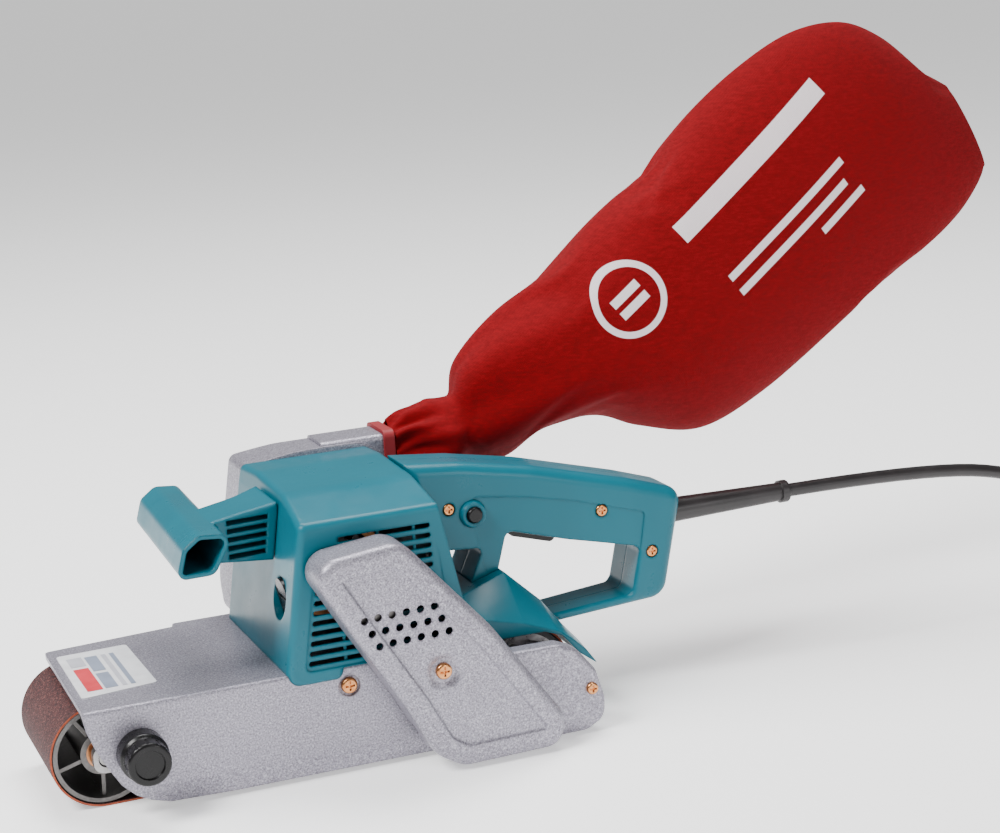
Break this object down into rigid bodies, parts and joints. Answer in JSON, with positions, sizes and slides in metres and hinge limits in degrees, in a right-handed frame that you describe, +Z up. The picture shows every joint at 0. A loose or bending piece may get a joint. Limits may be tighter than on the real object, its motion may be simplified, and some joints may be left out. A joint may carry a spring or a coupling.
{
  "type": "handheld belt sander",
  "caption": "Handheld belt sander with a transverse motor, D handle, hollow front grip, silver cast frame, drive-belt cover, red cloth dust bag and coiled mains cord.",
  "frame": {"origin": "centre of the flat working face of the abrasive belt, midway between the two rollers", "axes": "+X from the front idler roller to the D handle, -Y to the drive-belt cover side, +Z up from the working face"},
  "size_m": [0.821, 0.2269, 0.346],
  "materials": {
    "teal_plastic": "glossy teal moulded plastic",
    "silver_hammertone": "silver grey hammered paint on cast alloy",
    "black_plastic": "satin black plastic",
    "dark_plastic": "dark grey glass filled plastic",
    "copper_screw": "copper coloured plated steel screw",
    "steel": "machined steel",
    "lamination": "stacked steel sheet",
    "alloy": "cast aluminium",
    "copper": "copper segments and windings",
    "carbon": "pressed carbon",
    "grit": "red brown abrasive cloth",
    "grey_rubber": "grey rubber sleeve",
    "black_rubber": "black rubber",
    "graphite": "graphite faced sheet",
    "cork": "cork sheet",
    "bag_cloth": "dark red woven cotton",
    "cuff_red": "red rim of the bag mouth",
    "label": "printed foil with plain colour blocks"
  },
  "bodies": {
    "frame": {"abrasive_belt": "grit", "armature_bearings": "steel", "bag_cuff": "cuff_red", "bearing_spider": "dark_plastic", "belt_cover": "silver_hammertone", "belt_cover_screw": "copper_screw", "brush_caps": "black_plastic", "brush_holders": "dark_plastic", "carbon_brushes": "carbon", "cord_coil": "black_rubber", "cord_guard": "black_rubber", "cord_tube": "black_rubber", "cork_pad": "cork", "drive_belt": "black_rubber", "drive_shaft_bearing": "steel", "dust_bag": "bag_cloth", "dust_nozzle": "silver_hammertone", "end_cover_screw": "copper_screw", "fan_housing": "silver_hammertone", "field_coils": "copper", "field_stator": "lamination", "frame_screw": "copper_screw", "front_grip": "teal_plastic", "handle_base": "teal_plastic", "handle_left_cover": "teal_plastic", "handle_right_half": "teal_plastic", "handle_screws": "copper_screw", "lay_shaft_bearing": "steel", "lock_collar": "teal_plastic", "main_frame": "silver_hammertone", "motor_housing": "teal_plastic", "nameplate": "label", "platen_plate": "graphite", "plug": "black_rubber", "rear_end_cover": "silver_hammertone", "switch_body": "dark_plastic", "tension_spring": "steel", "trigger_spring": "steel"},
    "drive_roller_set": {"drive_roller": "steel", "drive_roller_sleeve": "grey_rubber", "drive_shaft": "steel", "drive_gear": "steel"},
    "idler_slide": {"idler_bracket": "steel", "idler_axle": "steel"},
    "idler_roller_set": {"idler_roller": "alloy", "idler_bushes": "copper"},
    "lever": {"tension_lever": "steel"},
    "knob": {"tracking_knob": "black_plastic", "tracking_screw": "steel"},
    "armature": {"armature_shaft": "steel", "armature_core": "lamination", "commutator": "copper", "dust_fan": "dark_plastic", "small_pulley": "alloy"},
    "lay_shaft_set": {"lay_shaft": "steel", "large_pulley": "alloy", "pinion": "steel"},
    "trigger_set": {"trigger": "black_plastic"},
    "lock_set": {"lock_button": "black_plastic"}
  },
  "joints": [
    {"name": "drive_roller_spin", "type": "hinge", "parent": "frame", "child": "drive_roller_set", "pos_m": [0.112, 0, 0.0266], "axis": [0, 1, 0], "continuous": true},
    {"name": "lay_shaft_spin", "type": "hinge", "parent": "frame", "child": "lay_shaft_set", "pos_m": [0.08075, 0, 0.028], "axis": [0, 1, 0], "continuous": true},
    {"name": "armature_spin", "type": "hinge", "parent": "frame", "child": "armature", "pos_m": [0.02, 0, 0.095], "axis": [0, 1, 0], "continuous": true},
    {"name": "idler_bracket_slide", "type": "slide", "parent": "frame", "child": "idler_slide", "axis": [1, 0, 0], "range_m": [0, 0.005], "deforming": ["tension_spring"]},
    {"name": "idler_roller_spin", "type": "hinge", "parent": "idler_slide", "child": "idler_roller_set", "pos_m": [-0.112, 0, 0.0266], "axis": [0, 1, 0], "continuous": true},
    {"name": "tension_lever_turn", "type": "hinge", "parent": "frame", "child": "lever", "pos_m": [-0.042, 0, 0.03], "axis": [0, 1, 0], "range_deg": [0, 35]},
    {"name": "tracking_knob_turn", "type": "hinge", "parent": "frame", "child": "knob", "pos_m": [-0.098, -0.0603, 0.0327], "axis": [0, 1, 0], "range_deg": [-180, 180]},
    {"name": "trigger_press", "type": "slide", "parent": "frame", "child": "trigger_set", "axis": [0, 0, 1], "range_m": [0, 0.003], "deforming": ["trigger_spring"]},
    {"name": "lock_button_press", "type": "slide", "parent": "frame", "child": "lock_set", "axis": [0, 1, 0], "range_m": [0, 0.003]}
  ],
  "couplings": [
    {"joint": "lay_shaft_spin", "follows": "drive_roller_spin", "ratio": -1.7778},
    {"joint": "armature_spin", "follows": "drive_roller_spin", "ratio": -2.7571},
    {"joint": "idler_roller_spin", "follows": "drive_roller_spin", "ratio": 1},
    {"joint": "tension_lever_turn", "follows": "idler_bracket_slide", "rad_per_m": 122.17}
  ]
}
